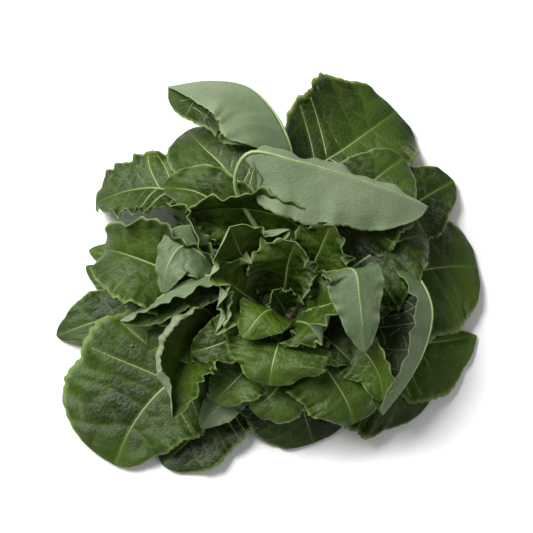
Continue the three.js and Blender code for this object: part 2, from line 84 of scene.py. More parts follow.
leaves = {
    "outer_leaf_01": {
        "spine": [
            (-9, -6, 8), (-34, -18, 15), (-60, -32, 17),
            (-82, -50, 14), (-97, -70, 9), (-106, -90, 3),
        ],
        "tone": 0.35, "quilt": 1.5, "stalk": 0.36, "width": (36, 60), "fold": (2, 4), "curl": (-6, -8),
        "wave": (2, 2, 0.5), "blunt": (0.5, 0.5),
    },
    "outer_leaf_02": {
        "spine": [(-6, -9, 6), (-22, -30, 9), (-42, -54, 8), (-58, -73, 6), (-76, -90, 2)],
        "tone": -0.3, "stalk": 0.35, "width": (27, 26), "fold": (3, 3), "wave": (1.5, 3, 1),
        "blunt": (0.5, 0.5),
    },
    "outer_leaf_03": {
        "spine": [(1, -11, 6), (5, -28, 15), (9, -46, 15), (13, -62, 9), (18, -76, 2)],
        "tone": -0.3, "stalk": 0.3, "width": (45, 40), "fold": (0, 0), "curl": (-8, -8),
        "wave": (1.5, 2.5, 2), "blunt": (0.42, 0.42),
    },
    "outer_leaf_04": {
        "spine": [(9, -7, 6), (32, -18, 15), (54, -29, 17), (73, -39, 12), (90, -51, 3)],
        "tone": 0.1, "stalk": 0.33, "width": (26, 46), "fold": (3, 2), "curl": (0, -6),
        "wave": (1.5, 3, 0), "blunt": (0.5, 0.5),
    },
    "outer_leaf_05": {
        "spine": [(11, -3, 7), (38, -8, 12), (66, -13, 12), (92, -13, 9), (121, -7, 2)],
        "frill": 0.5, "tone": 1.1, "stalk": 0.42, "width": (12, 38), "fold": (2, 2), "wave": (1, 2, 0),
        "blunt": (0.8, 0.8),
    },
    "outer_leaf_06": {
        "spine": [(11, 4, 7), (38, 14, 16), (66, 26, 20), (88, 32, 17), (106, 36, 10), (122, 38, 3)],
        "tone": 0.35, "stalk": 0.4, "width": (46, 48), "fold": (2, 4), "curl": (-8, -8),
        "wave": (1.6, 3, 0.4), "blunt": (0.42, 0.42),
    },
    "outer_leaf_07": {
        "spine": [(8, 8, 8), (34, 32, 14), (58, 54, 16), (82, 76, 12), (108, 94, 5)],
        "tone": 0, "stalk": 0.45, "width": (28, 26), "fold": (6, 6), "wave": (2, 2.5, 0),
        "blunt": (0.5, 0.5),
    },
    "outer_leaf_08": {
        "spine": [
            (3, 11, 9), (6, 42, 18), (10, 78, 20), (20, 98, 18),
            (38, 112, 15), (56, 127, 10), (72, 141, 3),
        ],
        "frill": 1.6, "tone": 0.1, "stalk": 0.5, "width": (48, 44), "fold": (16, 4), "curl": (30, -4),
        "wave": (3, 2.5, 0.6), "blunt": (0.5, 0.34), "skew": (0.9, 0.8), "heading": 48,
    },
    "outer_leaf_09": {
        "spine": [
            (0, 11, 11), (-2, 44, 28), (4, 84, 42), (3, 104, 48),
            (-8, 128, 48), (-24, 144, 45), (-48, 150, 38), (-74, 150, 27),
        ],
        "frill": 0.4, "quilt": 0.3, "stalk": 0.48, "width": (40, 42), "fold": (-2, 150), "curl": (0, 20),
        "wave": (1.2, 2.5, 0.6), "skew": (1, 0.6), "blunt": (0.45, 0.75), "heading": 135,
    },
    "outer_leaf_10": {
        "spine": [(-6, 9, 8), (-28, 36, 22), (-54, 66, 30), (-76, 82, 26), (-98, 83, 20), (-120, 78, 8)],
        "frill": 1.6, "tone": 0.2, "stalk": 0.6, "width": (28, 24), "fold": (24, 4), "curl": (40, -6),
        "wave": (2, 2.5, 0.6), "blunt": (0.45, 0.45), "heading": 165,
    },
    "outer_leaf_11": {
        "spine": [
            (-4, 11, 10), (-14, 42, 26), (-24, 73, 34),
            (-38, 94, 33), (-52, 110, 27), (-62, 124, 16),
        ],
        "tone": 0.1, "stalk": 0.42, "width": (32, 26), "fold": (6, 10), "wave": (1.5, 2.5, 0.6),
        "blunt": (0.5, 0.5),
    },
    "outer_leaf_12": {
        "spine": [(-9, 8, 6), (-32, 40, 12), (-56, 78, 12), (-72, 98, 10), (-86, 110, 4)],
        "stalk": 0.4, "width": (18, 20), "fold": (6, 6), "wave": (1, 2.5, 0.6),
    },
    "outer_leaf_13": {
        "spine": [(-11, 5, 6), (-45, 18, 14), (-85, 34, 14), (-124, 48, 5)],
        "tone": 0.6, "stalk": 0.4, "width": (14, 16), "fold": (6, 6), "wave": (1, 2.5, 0.6),
    },
    "outer_leaf_14": {
        "spine": [(-11, 2, 6), (-45, 8, 10), (-90, 24, 12), (-126, 38, 3)],
        "stalk": 0.4, "width": (20, 10), "fold": (6, 6), "wave": (1, 2.5, 0.6),
    },
    "outer_leaf_15": {
        "spine": [(-12, -1, 8), (-42, 0, 17), (-80, 3, 18), (-114, 1, 11), (-144, -7, 2)],
        "tone": -0.1, "stalk": 0.38, "width": (20, 24), "fold": (4, 4), "wave": (1.5, 2.5, 0.6),
    },
    "outer_leaf_16": {
        "spine": [(-5, -11, 8), (-20, -34, 22), (-36, -52, 26), (-52, -70, 20)],
        "tone": -0.3, "quilt": 0.3, "stalk": 0.4, "width": (13, 13), "fold": (10, 10), "roll": (180, 180),
        "wave": (1, 2, 0),
    },
    "outer_leaf_17": {
        "spine": [(1, 10, 6), (2, 32, 9), (4, 58, 9), (6, 88, 4)],
        "stalk": 0.28, "width": (34, 32), "fold": (4, 4), "wave": (2, 2.5, 0), "blunt": (0.5, 0.5),
    },
    "outer_leaf_18": {
        "spine": [(8, 7, 5), (26, 26, 8), (46, 44, 8), (68, 60, 4)],
        "stalk": 0.28, "width": (28, 28), "fold": (4, 4), "wave": (2, 2.5, 0), "blunt": (0.5, 0.5),
    },
    "outer_leaf_19": {
        "spine": [(-9, 6, 5), (-32, 20, 8), (-56, 40, 8), (-78, 60, 4)],
        "stalk": 0.28, "width": (28, 28), "fold": (4, 4), "wave": (2, 2.5, 0), "blunt": (0.5, 0.5),
    },
    "middle_leaf_01": {
        "spine": [(-9, 3, 12), (-34, 10, 30), (-62, 20, 42), (-86, 30, 44), (-104, 38, 38), (-113, 42, 28)],
        "frill": 2, "veins": 0.6, "tone": 0.35, "stalk": 0.34, "width": (34, 30), "fold": (12, 34),
        "curl": (10, 40), "wave": (3, 2.5, 0), "blunt": (0.42, 0.42),
    },
    "middle_leaf_02": {
        "spine": [
            (-8, -4, 12), (-30, -9, 26), (-52, -20, 32),
            (-66, -38, 34), (-70, -56, 38), (-69, -70, 46),
        ],
        "frill": 1.5, "veins": 0.6, "tone": 0.4, "stalk": 0.34, "width": (30, 42), "fold": (48, 56),
        "curl": (10, 130), "start": 0.72, "wave": (1, 2, 0), "heading": -132,
    },
    "middle_leaf_03": {
        "spine": [(0, -8, 13), (-2, -16, 42), (-5, -28, 56), (-8, -40, 59), (-10, -51, 54)],
        "frill": 2, "veins": 0.6, "tone": 0.7, "stalk": 0.36, "width": (34, 32), "fold": (0, 0),
        "curl": (-20, -20), "wave": (4, 2, 0), "blunt": (0.5, 0.5), "heading": -95,
    },
    "middle_leaf_04": {
        "spine": [(-4, -8, 12), (-16, -26, 30), (-30, -43, 36), (-44, -56, 32)],
        "veins": 0.6, "tone": 0.6, "stalk": 0.36, "width": (20, 20), "fold": (10, 10), "wave": (3, 2, 0),
    },
    "middle_leaf_05": {
        "spine": [(2, -9, 12), (2, -28, 30), (-2, -44, 36), (-12, -56, 36), (-22, -60, 33)],
        "veins": 0.6, "tone": 0.7, "stalk": 0.36, "width": (24, 16), "fold": (6, 6), "curl": (-60, 0),
        "wave": (3, 2, 0),
    },
    "middle_leaf_06": {
        "spine": [(5, -8, 12), (16, -24, 34), (28, -42, 42), (38, -58, 38), (42, -70, 31)],
        "frill": 2, "veins": 0.6, "tone": 0.5, "stalk": 0.3, "width": (34, 28), "fold": (4, 4),
        "curl": (-10, -20), "wave": (3, 2.5, 0), "blunt": (0.5, 0.5),
    },
    "middle_leaf_07": {
        "spine": [(9, -5, 13), (28, -14, 36), (46, -26, 50), (57, -42, 50), (60, -58, 42)],
        "veins": 0.6, "tone": 0.6, "stalk": 0.35, "width": (16, 20), "fold": (20, 20),
        "roll": (0, 40, 40), "wave": (2, 2, 0),
    },
    "middle_leaf_08": {
        "spine": [
            (10, -1, 13), (34, 14, 30), (60, 26, 44), (80, 20, 50),
            (90, 0, 52), (88, -20, 50), (77, -44, 46), (60, -66, 38),
        ],
        "veins": 0.6, "tone": -0.5, "quilt": 0.3, "stalk": 0.4, "width": (15, 44), "fold": (140, -18),
        "wave": (1.2, 2.5, 0), "blunt": (0.4, 0.5), "heading": -80,
    },
    "middle_leaf_09": {
        "spine": [(9, 5, 13), (30, 18, 38), (52, 32, 50), (72, 42, 50), (88, 48, 42)],
        "frill": 2, "veins": 0.6, "tone": -0.1, "stalk": 0.35, "width": (30, 36), "fold": (4, 4),
        "curl": (0, -20), "wave": (2.5, 2.5, 0), "blunt": (0.5, 0.5),
    },
    "middle_leaf_10": {
        "spine": [(6, 9, 13), (22, 34, 38), (38, 60, 52), (56, 80, 54), (74, 96, 48)],
        "frill": 1.6, "veins": 0.6, "tone": 0.1, "stalk": 0.36, "width": (26, 40), "fold": (6, 6),
        "wave": (2.5, 2.5, 0), "blunt": (0.5, 0.5),
    },
    "middle_leaf_11": {
        "spine": [(3, 9, 14), (16, 32, 42), (8, 50, 56), (-14, 58, 60), (-38, 60, 60), (-62, 58, 56)],
        "frill": 1.6, "veins": 0.6, "tone": 0.3, "stalk": 0.34, "width": (30, 24), "fold": (10, 10),
        "roll": (0, -70, -70, -70), "heading": 180, "wave": (2.5, 3, 0),
    },
    "middle_leaf_12": {
        "spine": [
            (0, 9, 14), (-12, 42, 46), (-30, 72, 72), (-22, 88, 84),
            (6, 82, 88), (32, 75, 86), (60, 67, 80), (88, 58, 70),
        ],
        "frill": 0.3, "veins": 0.6, "quilt": 0.3, "stalk": 0.47, "width": (36, 18), "fold": (20, 60),
        "roll": (180, 180), "heading": -15, "wave": (1.5, 3, 0), "blunt": (0.5, 0.5),
    },
    "middle_leaf_13": {
        "spine": [(-5, 8, 12), (-20, 36, 36), (-36, 60, 46), (-54, 74, 46), (-76, 80, 38)],
        "frill": 2, "veins": 0.6, "tone": 0.2, "stalk": 0.34, "width": (20, 24), "fold": (10, 30),
        "wave": (2.5, 2, 0),
    },
    "middle_leaf_14": {
        "spine": [(-7, 6, 14), (-28, 18, 36), (-48, 28, 44), (-55, 42, 48), (-58, 56, 46), (-74, 68, 42)],
        "veins": 0.6, "stalk": 0.32, "width": (22, 22), "fold": (10, 10), "roll": (0, -80, -80, -80),
        "heading": 138, "wave": (2, 2, 0),
    },
    "middle_leaf_15": {
        "spine": [(-6, 4, 14), (-26, 16, 38), (-46, 28, 54), (-62, 36, 60), (-71, 26, 60), (-76, 8, 52)],
        "veins": 0.6, "tone": -0.8, "stalk": 0.4, "width": (14, 18), "fold": (10, 10), "roll": (180, 180),
        "wave": (1, 2, 0), "heading": 200,
    },
    "middle_leaf_16": {
        "spine": [(-8, 1, 14), (-24, 12, 40), (-44, 18, 55), (-62, 14, 55), (-82, 3, 48), (-102, -6, 38)],
        "veins": 0.6, "stalk": 0.32, "width": (20, 20), "fold": (10, 125), "wave": (1.5, 2, 0),
        "heading": 190,
    },
    "middle_leaf_17": {
        "spine": [(-9, -1, 13), (-30, -6, 30), (-50, -12, 36), (-70, -18, 34), (-85, -24, 28)],
        "frill": 2, "veins": 0.6, "tone": 0.3, "stalk": 0.34, "width": (20, 26), "fold": (10, 10),
        "wave": (2, 2, 0),
    },
    "heart_leaf_01": {
        "spine": [(-5, 6, 15), (-17, 16, 40), (-27, 29, 64), (-34, 40, 88)],
        "frill": 2.2, "veins": 0.45, "tone": 0.4, "stalk": 0.28, "width": (40, 34), "fold": (15, 15),
        "curl": (80, 80), "wave": (5, 2.2, 0), "blunt": (0.42, 0.42),
    },
    "heart_leaf_02": {
        "spine": [(-6, 2, 15), (-20, 6, 40), (-32, 10, 60), (-43, 13, 76)],
        "frill": 3, "veins": 0.45, "tone": 0.7, "stalk": 0.28, "width": (30, 26), "fold": (10, 10),
        "curl": (40, 30), "wave": (7, 2.2, 1), "blunt": (0.42, 0.42),
    },
    "heart_leaf_03": {
        "spine": [(-2, 6, 15), (0, 14, 42), (2, 24, 66), (6, 32, 84)],
        "frill": 3, "veins": 0.45, "tone": 0.5, "stalk": 0.28, "width": (26, 20), "fold": (8, 8),
        "curl": (20, 20), "wave": (5, 2, 0.8), "blunt": (0.42, 0.42),
    },
    "heart_leaf_04": {
        "spine": [(5, 2, 15), (15, 0, 40), (25, -2, 60), (34, -3, 78)],
        "frill": 3, "veins": 0.45, "tone": 0.3, "stalk": 0.28, "width": (24, 26), "fold": (10, 10),
        "curl": (20, 20), "wave": (6, 2.2, 1), "blunt": (0.42, 0.42),
    },
    "heart_leaf_05": {
        "spine": [(-2, -3, 15), (-6, -2, 38), (-9, -4, 56), (-15, -10, 66), (-26, -24, 66)],
        "veins": 0.45, "tone": 1.1, "stalk": 0.4, "width": (17, 17), "fold": (-10, -10),
        "wave": (2, 2, 0), "heading": -120,
    },
    "heart_leaf_06": {
        "spine": [(-5, -4, 14), (-18, -10, 36), (-32, -20, 48), (-46, -26, 50), (-58, -28, 46)],
        "frill": 2, "veins": 0.45, "tone": 0, "stalk": 0.34, "width": (16, 18), "fold": (10, 10),
        "wave": (2, 2, 0),
    },
    "heart_leaf_07": {
        "spine": [(3, -3, 15), (8, -7, 38), (14, -13, 56), (21, -21, 66)],
        "frill": 3, "veins": 0.45, "tone": 0.6, "stalk": 0.3, "width": (24, 24), "fold": (0, 0),
        "curl": (-15, -20), "wave": (5, 2.4, 1), "blunt": (0.45, 0.45),
    },
    "heart_leaf_08": {
        "spine": [(6, 1, 15), (20, 8, 46), (34, 16, 76), (42, 12, 88), (45, -6, 85), (48, -34, 70)],
        "veins": 0.45, "tone": -0.8, "quilt": 0.3, "stalk": 0.4, "width": (18, 16), "fold": (10, 10),
        "roll": (180, 180), "wave": (1, 2, 0), "heading": -80,
    },
    "heart_leaf_09": {
        "spine": [(5, -5, 14), (18, -12, 36), (30, -24, 48), (42, -36, 48)],
        "frill": 1.6, "veins": 0.45, "stalk": 0.34, "width": (18, 16), "fold": (10, 10),
        "wave": (2, 2, 0),
    },
    "heart_leaf_10": {
        "spine": [(5, 5, 15), (14, 20, 42), (22, 34, 62), (28, 46, 76)],
        "frill": 3, "veins": 0.45, "stalk": 0.28, "width": (22, 24), "fold": (10, 10), "curl": (30, 20),
        "wave": (4, 2, 1), "blunt": (0.45, 0.45),
    },
    "heart_leaf_11": {
        "spine": [(1, -4, 15), (1, -11, 34), (2, -21, 48), (3, -34, 56)],
        "frill": 2, "veins": 0.45, "tone": 0.6, "stalk": 0.28, "width": (12, 12), "fold": (20, 20),
        "wave": (3, 2, 0), "blunt": (0.45, 0.45),
    },
    "heart_leaf_12": {
        "spine": [(0, 1, 15), (-1, 3, 32), (-4, 5, 44), (-8, 9, 54)],
        "frill": 2, "veins": 0.45, "tone": 0.4, "stalk": 0.28, "width": (12, 12), "fold": (20, 20),
        "wave": (2.5, 2, 1.5), "blunt": (0.45, 0.45),
    },
}

def unit(vectors):
    return vectors / np.linalg.norm(vectors, axis=-1, keepdims=True)


def dot(a, b):
    return np.sum(a * b, axis=-1, keepdims=True)


def smoothCurve(points, count):
    # A centripetal Catmull-Rom curve, with its ends mirrored, read at equal steps of its length.
    places = np.asarray(points, float)
    ends = np.vstack([2 * places[0] - places[1], places, 2 * places[-1] - places[-2]])
    a, b, c, d = ends[:-3], ends[1:-2], ends[2:-1], ends[3:]
    knots = [np.sqrt(np.linalg.norm(q - p, axis=1, keepdims=True)) for p, q in ((a, b), (b, c), (c, d))]
    before, here, after = knots
    leave = ((b - a) / before - (c - a) / (before + here) + (c - b) / here) * here
    arrive = ((c - b) / here - (d - b) / (here + after) + (d - c) / after) * here
    u = np.linspace(0, 1, 40)[:, None, None]
    cubic = b + leave * u + (3 * (c - b) - 2 * leave - arrive) * u**2 + (2 * (b - c) + leave + arrive) * u**3
    path = cubic.transpose(1, 0, 2).reshape(-1, 3)
    run = np.r_[0, np.cumsum(np.linalg.norm(np.diff(path, axis=0), axis=1))]
    steps = np.linspace(0, run[-1], count)
    return np.stack([np.interp(steps, run, path[:, k]) for k in range(3)], 1), run[-1]


def prepareLeaf(name, values):
    # The spine and, along it, the directions on, left and up, as long arrays to read from.
    leaf = {**usualLeaf, **values, "name": name}
    for key in ("skew", "blunt"):
        leaf[key] = np.broadcast_to(leaf[key], 2)
    points, leaf["length"] = smoothCurve(leaf["spine"], 400)
    on = unit(np.gradient(points, axis=0))
    reached = points[-1] - points[0]
    heading = math.radians(leaf.get("heading", math.degrees(math.atan2(reached[1], reached[0]))))
    level = np.array([-math.sin(heading), math.cos(heading), 0.0])
    left = unit(level - dot(on, level) * on)
    up = np.cross(on, left)
    share = np.linspace(0, 1, len(points))
    roll = np.radians(np.interp(share, np.linspace(0, 1, len(leaf["roll"])), leaf["roll"]))[:, None]
    leaf["left"] = left * np.cos(roll) + up * np.sin(roll)
    leaf["up"] = up * np.cos(roll) - left * np.sin(roll)
    leaf["points"], leaf["on"], leaf["share"] = points, on, share
    leaf["seed"] = sum(ord(letter) * (place + 3) for place, letter in enumerate(name))
    return leaf


def readAlong(leaf, key, share):
    return np.stack([np.interp(share, leaf["share"], leaf[key][:, k]) for k in range(3)], -1)


def halfWidth(leaf, side, share):
    # A sine arch over the blade's length, skewed towards the stalk and blunted at both ends.
    arch = np.sin(np.pi * np.clip(share, 0, 1) ** leaf["skew"][side])
    arch = np.maximum(arch, 0) ** leaf["blunt"][side]
    wide = leafLook["wideLobes"] * np.sin(9 * share + leaf["seed"] + 2 * side)
    lobes = 1 + wide + leafLook["smallLobes"] * np.sin(19 * share + 1.7 * leaf["seed"])
    return np.maximum(leaf["width"][side] * arch * lobes, leafLook["narrowestHalfWidth"])


def sidePoint(leaf, side, share, reach):
    # The cross-section turns from fold to fold plus curl, so its place is the integral of the
    # turning direction: straight to the start of the curl, then a circular arc.
    sign = (1, -1)[side]
    place = leaf["stalk"] + (1 - leaf["stalk"]) * share
    point, on = readAlong(leaf, "points", place), unit(readAlong(leaf, "on", place))
    left, up = unit(readAlong(leaf, "left", place)), unit(readAlong(leaf, "up", place))
    width = halfWidth(leaf, side, share)
    fullness = width / leaf["width"][side]
    fold = math.radians(leaf["fold"][side])
    rate = np.radians(leaf["curl"][side]) * fullness / (1 - leaf["start"])
    rate = np.where(np.abs(rate) < 1e-4, 1e-4, rate)
    curled = np.maximum(reach - leaf["start"], 0)
    flat = np.minimum(reach, leaf["start"])
    angle = fold + rate * curled
    out = flat * math.cos(fold) + (np.sin(angle) - math.sin(fold)) / rate
    rise = flat * math.sin(fold) - (np.cos(angle) - math.cos(fold)) / rate
    facing = up * np.cos(angle)[..., None] - left * (sign * np.sin(angle))[..., None]
    # The ruffle is two sine waves along the blade, and the frill a faster pair near the margin.
    height, count, phase = leaf["wave"]
    turn = 2 * np.pi * count * share
    waves = np.sin(turn + phase + 1.9 * side) + 0.45 * np.sin(2.3 * turn + 2.1 * phase + side)
    ruffle = height * reach**1.8 * waves * np.sqrt(fullness)
    frill = np.sin(41 * share + leaf["seed"] + 2 * side) + 0.7 * np.sin(67 * share + 1.7 * leaf["seed"])
    gathered = np.maximum(reach - leafLook["frillStart"], 0) ** 2 * leafLook["frillGathering"]
    ruffle = ruffle + leafLook["frillHeight"] * leaf["frill"] * gathered * frill * fullness
    swell = np.sin(7 * share + leaf["seed"]) * np.sin(5 * reach + 1.3 * side + 0.7 * leaf["seed"])
    ruffle = ruffle + leafLook["swell"] * swell * reach * fullness
    point = point + left * (sign * width * out)[..., None] + up * (width * rise)[..., None]
    point = point - on * (leaf["sweep"] * width * reach**2)[..., None]
    return point + facing * ruffle[..., None], facing


def surfacePoint(leaf, share, across):
    # A place on the blade's middle surface: share along it, across from 1 (left) to -1 (right).
    leftPoint, leftFacing = sidePoint(leaf, 0, share, np.maximum(across, 0))
    rightPoint, rightFacing = sidePoint(leaf, 1, share, np.maximum(-across, 0))
    isLeft = (across >= 0)[..., None]
    facing = np.where(isLeft, leftFacing, rightFacing)
    middle = unit(leftFacing + rightFacing + 1e-6)
    facing = np.where((np.abs(across) < 1e-3)[..., None], middle, facing)
    return np.where(isLeft, leftPoint, rightPoint), facing


def veinPaths(leaf):
    # Side veins leave the midrib in pairs and lean towards the tip; each has short forks. A path is
    # a list of places (share, across) with its radius.
    random = np.random.default_rng(leaf["seed"])
    along = np.linspace(0, 1, 14)
    paths = []
    for side, sign in enumerate((1, -1)):
        for pair in range(leafLook["veinPairs"]):
            begin = 0.015 + 0.82 * (pair / leafLook["veinPairs"]) ** 1.15 + random.uniform(0, 0.03)
            lean = random.uniform(0.14, 0.24) * (1 - 0.5 * begin)
            bend = random.uniform(-0.03, 0.03)
            share = begin + lean * along**0.9 + bend * np.sin(np.pi * along)
            across = sign * 0.88 * along
            if pair == 0:
                share = begin + 0.02 * np.sin(3 * along) - 0.02 * along
            size = leafLook["veinRadius"] * leaf["veins"] * (1 - 0.09 * pair)
            paths.append((np.clip(share, 0.01, 0.97), across, size))
            for fork in range(3):
                root = random.uniform(0.2, 0.3) + 0.24 * fork
                direction = 1 if fork % 2 else -1
                reach = random.uniform(0.12, 0.2)
                forkAcross = sign * (0.88 * root + reach * along * 0.9)
                forkShare = np.interp(root, along, share) + direction * (0.075 + 0.03 * fork) * along**0.8
                forkSize = leafLook["forkRadius"] * leaf["veins"]
                paths.append((np.clip(forkShare, 0.01, 0.97), forkAcross, forkSize))
    return paths


def veinDistance(leaf, share, across, paths):
    # How far each place is from the nearest vein, on the blade laid flat, in millimetres.
    bladeLength = leaf["length"] * (1 - leaf["stalk"])

    def laidFlat(shares, acrosses):
        width = np.where(acrosses >= 0, halfWidth(leaf, 0, shares), halfWidth(leaf, 1, shares))
        return np.stack([shares * bladeLength, acrosses * width], -1)

    places = laidFlat(share, across).reshape(-1, 1, 2)
    nearest = np.abs(places[:, 0, 1])
    for shares, acrosses, size in paths:
        path = laidFlat(shares, acrosses)
        begin, step = path[:-1], np.diff(path, axis=0)
        reach = np.sum((places - begin) * step, -1) / np.maximum(np.sum(step**2, -1), 1e-9)
        closest = begin + np.clip(reach, 0, 1)[..., None] * step
        distance = np.min(np.linalg.norm(places - closest, axis=-1), axis=1)
        nearest = np.minimum(nearest, distance + (0.8 if size < 0.5 else 0))
    return nearest.reshape(share.shape)


def closedTube(rings):
    # Faces of rings joined one to the next, with a fan of triangles over a centre at each end.
    count, sides = rings.shape[:2]
    points = np.vstack([rings.reshape(-1, 3), rings[0].mean(0), rings[-1].mean(0)])
    ring, corner = np.meshgrid(np.arange(count - 1), np.arange(sides), indexing="ij")
    after = (corner + 1) % sides
    walls = np.stack([ring * sides + corner, ring * sides + after, (ring + 1) * sides + after,
                      (ring + 1) * sides + corner], -1).reshape(-1, 4)
    corner, after = np.arange(sides), (np.arange(sides) + 1) % sides
    first, last = count * sides, count * sides + 1
    base = (count - 1) * sides
    start = np.stack([np.full(sides, first), after, corner], -1)
    end = np.stack([np.full(sides, last), base + corner, base + after], -1)
    return points, [*walls.tolist(), *start.tolist(), *end.tolist()]


def bladeShell(leaf):
    # The blade is a grid over (share, across), copied half a thickness to each side and closed by a rim.
    rows, columns = leafLook["rows"], 2 * leafLook["columnsPerSide"]
    share, across = np.meshgrid(np.linspace(0, 1, rows + 1), np.linspace(1, -1, columns + 1), indexing="ij")
    paths = veinPaths(leaf)
    distance = veinDistance(leaf, share, across, paths)
    notch = 1 - leafLook["toothDepth"] * np.abs(np.sin(23 * share + leaf["seed"])) * np.sin(61 * share) ** 2
    point, facing = surfacePoint(leaf, share, across * np.where(np.abs(across) > 0.93, notch, 1))
    rounded = (1 - np.exp(-distance / leafLook["quiltingReach"])) * np.minimum((1 - np.abs(across)) * 6, 1)
    ends = np.minimum(np.minimum(share, 1 - share) * 12, 1)
    point = point + facing * (leafLook["quilting"] * leaf["quilt"] * rounded * ends)[..., None]
    half = leafLook["thickness"] / 2
    points = np.stack([point + facing * half, point - facing * half])
    width = columns + 1
    index = np.arange(2 * (rows + 1) * width).reshape(2, rows + 1, width)

    def quads(a, b, c, d):
        return np.stack([a, b, c, d], -1).reshape(-1, 4)

    top, bottom = index
    face = quads(top[:-1, :-1], top[:-1, 1:], top[1:, 1:], top[1:, :-1])
    back = quads(bottom[:-1, :-1], bottom[1:, :-1], bottom[1:, 1:], bottom[:-1, 1:])
    rim = np.vstack([
        quads(top[:-1, 0], top[1:, 0], bottom[1:, 0], bottom[:-1, 0]),
        quads(top[:-1, -1], bottom[:-1, -1], bottom[1:, -1], top[1:, -1]),
        quads(top[0, :-1], bottom[0, :-1], bottom[0, 1:], top[0, 1:]),
        quads(top[-1, :-1], top[-1, 1:], bottom[-1, 1:], bottom[-1, :-1]),
    ])
    edge = np.clip((np.abs(across) - 0.93) / 0.05, 0, 1)
    return {
        "points": points.reshape(-1, 3), "faces": [face, back, rim],
        "vein": np.tile(np.exp(-((distance / 1.6) ** 2)).ravel(), 2),
        "edge": np.tile(edge.ravel(), 2),
        # The shade values are painted shade: colour darkened towards the blade's base, where the bunch lies
        # in shade.
        "shade": np.tile((leafLook["paintedBaseShade"] * np.exp(-4 * share)).ravel(), 2),
        "flat": np.tile(np.stack([share * leaf["length"] * 0.1 * (1 - leaf["stalk"]),
                                  across * max(leaf["width"]) * 0.1], -1).reshape(-1, 2), (2, 1)),
        "paths": paths,
    }


def veinTube(leaf, shares, acrosses, size):
    # A thin four-sided rib that stands just proud of the upper face and tapers outwards.
    steps = 12
    place = np.linspace(0, 1, steps)
    share = np.interp(place, np.linspace(0, 1, len(shares)), shares)
    across = np.interp(place, np.linspace(0, 1, len(acrosses)), acrosses)
    point, facing = surfacePoint(leaf, share, across)
    on = unit(np.gradient(point, axis=0))
    aside = unit(np.cross(on, facing))
    radius = size * (1 - 0.75 * place)[:, None, None]
    turn = np.arange(4) * np.pi / 2
    radius = np.maximum(radius, 0.14)
    ring = aside[:, None] * np.cos(turn)[None, :, None] - facing[:, None] * np.sin(turn)[None, :, None]
    rib = point[:, None] + ring * radius * np.array([1, 0.5, 1, 0.5])[None, :, None]
    rib = rib + facing[:, None] * (leafLook["veinLift"] * np.minimum(place * 8, 1))[:, None, None]
    return closedTube(rib)


def stalkTube(leaf):
    # A tapered oval carried along the whole spine, on the back of the blade.
    look = leafLook
    share = np.linspace(0, 0.985, look["stalkRings"])
    point, left, up = (readAlong(leaf, key, share) for key in ("points", "left", "up"))
    radius = look["stalkTipRadius"] + (look["stalkRadius"] - look["stalkTipRadius"]) * (1 - share) ** 1.25
    # Along the blade the rib sinks into it until only its crest shows on the back.
    sunk = np.clip((share - leaf["stalk"]) / 0.12, 0, 1)
    radius = radius * (1 - 0.3 * sunk)
    center = point - up * (radius * look["stalkDepth"] * (1 - 1.15 * sunk))[:, None]
    turn = np.arange(look["stalkSides"]) / look["stalkSides"] * 2 * np.pi
    across = left[:, None] * np.cos(turn)[None, :, None]
    upwards = up[:, None] * (look["stalkFlattening"] * np.sin(turn))[None, :, None]
    return closedTube(center[:, None] + (across + upwards) * radius[:, None, None])


def buildMesh(name, points, faces, materials, materialOf, values, flat=None):
    mesh = bpy.data.meshes.new(name)
    mesh.from_pydata((points * mm).tolist(), [], faces)
    for material in materials:
        mesh.materials.append(material)
    mesh.polygons.foreach_set("material_index", materialOf)
    mesh.polygons.foreach_set("use_smooth", [True] * len(faces))
    for key, numbers in values.items():
        mesh.attributes.new(key, "FLOAT", "POINT").data.foreach_set("value", numbers)
    if flat is not None:
        corners = np.zeros(len(mesh.loops), int)
        mesh.loops.foreach_get("vertex_index", corners)
        mesh.uv_layers.new(name="flat").data.foreach_set("uv", flat[corners].ravel())
    mesh.update()
    piece = bpy.data.objects.new(name, mesh)
    bpy.context.collection.objects.link(piece)
    return piece


def makeLeaf(name, values, materials):
    leaf = prepareLeaf(name, values)
    shell = bladeShell(leaf)
    points, faces, materialOf = [shell["points"]], [], []
    for slot, quads in enumerate(shell["faces"]):
        faces += quads.tolist()
        materialOf += [slot] * len(quads)
    start = len(shell["points"])
    # The face, back and margin take slots 0 to 2, the veins 3 and the stalk 4.
    tubes = [(3, *veinTube(leaf, *path)) for path in shell["paths"]] + [(4, *stalkTube(leaf))]
    for slot, tubePoints, tubeFaces in tubes:
        points.append(tubePoints)
        faces += [[corner + start for corner in face] for face in tubeFaces]
        materialOf += [slot] * len(tubeFaces)
        start += len(tubePoints)
    points = np.vstack(points)
    extra = len(points) - len(shell["points"])
    # Nothing goes below the table: what would is laid just above it, still in its own order.
    points[:, 2] = np.maximum(points[:, 2], leafLook["lowestPoint"] + 0.02 * np.maximum(-points[:, 2], 0))
    # The tone attribute is the leaf's own tone less the painted shade towards the blade's base.
    values = {
        "vein": np.r_[shell["vein"], np.ones(extra)],
        "edge": np.r_[shell["edge"], np.zeros(extra)],
        "tone": leaf["tone"] - np.r_[shell["shade"], np.zeros(extra)],
    }
    flat = np.vstack([shell["flat"], np.zeros((extra, 2))])
    piece = buildMesh("look_" + name, points, faces, materials, materialOf, values, flat)
    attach(piece, "root")
    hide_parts(name)
    name.split("_")[0] + "_leaf"
    return piece


